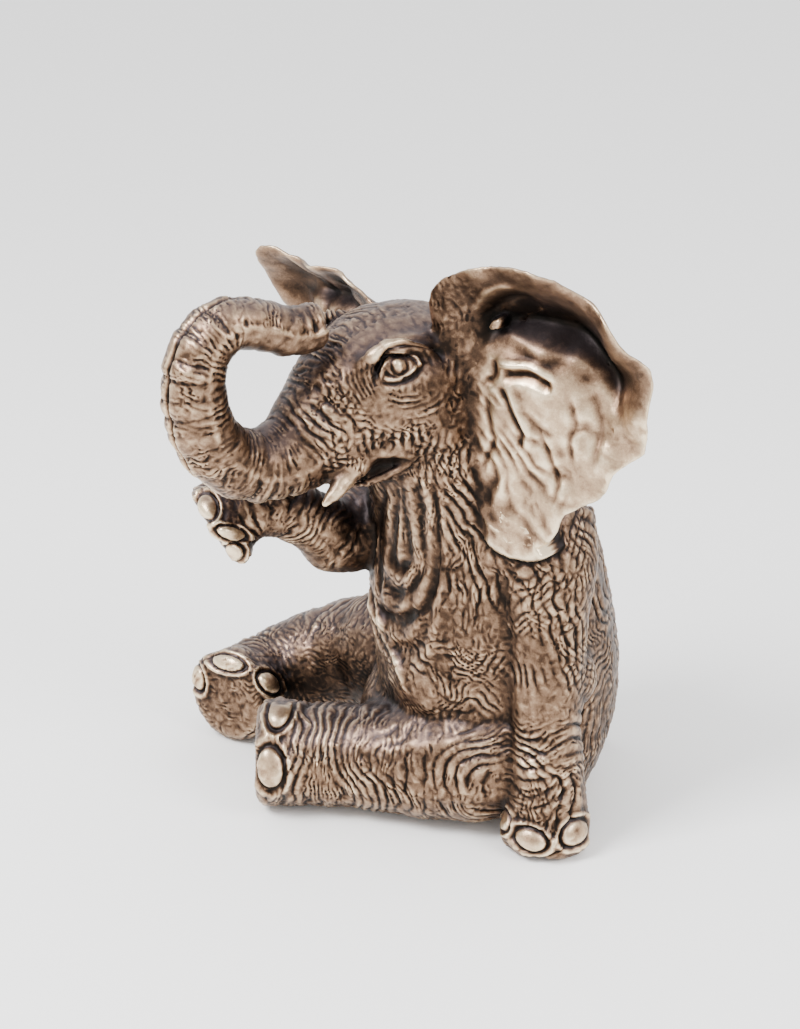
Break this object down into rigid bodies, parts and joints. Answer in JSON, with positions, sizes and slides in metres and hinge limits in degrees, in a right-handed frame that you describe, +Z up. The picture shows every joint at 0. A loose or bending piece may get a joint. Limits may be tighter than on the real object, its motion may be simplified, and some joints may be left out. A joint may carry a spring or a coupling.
{
  "type": "elephant sculpture",
  "caption": "Seated bronze elephant calf with wide flared ears, short tusks, its trunk curled up to its brow and one forefoot raised.",
  "frame": {"origin": "on the ground under the middle of the rump", "axes": "+Z up, the calf faces -Y, and its left side, with the foreleg it leans on, is +X"},
  "size_m": [0.5116, 0.5002, 0.5795],
  "materials": {
    "bronze": "dark brown patinated bronze, nearly black in the wrinkles and rubbed to pale gold on the high spots"
  },
  "bodies": {
    "root": {"elephant": "bronze"}
  },
  "joints": []
}
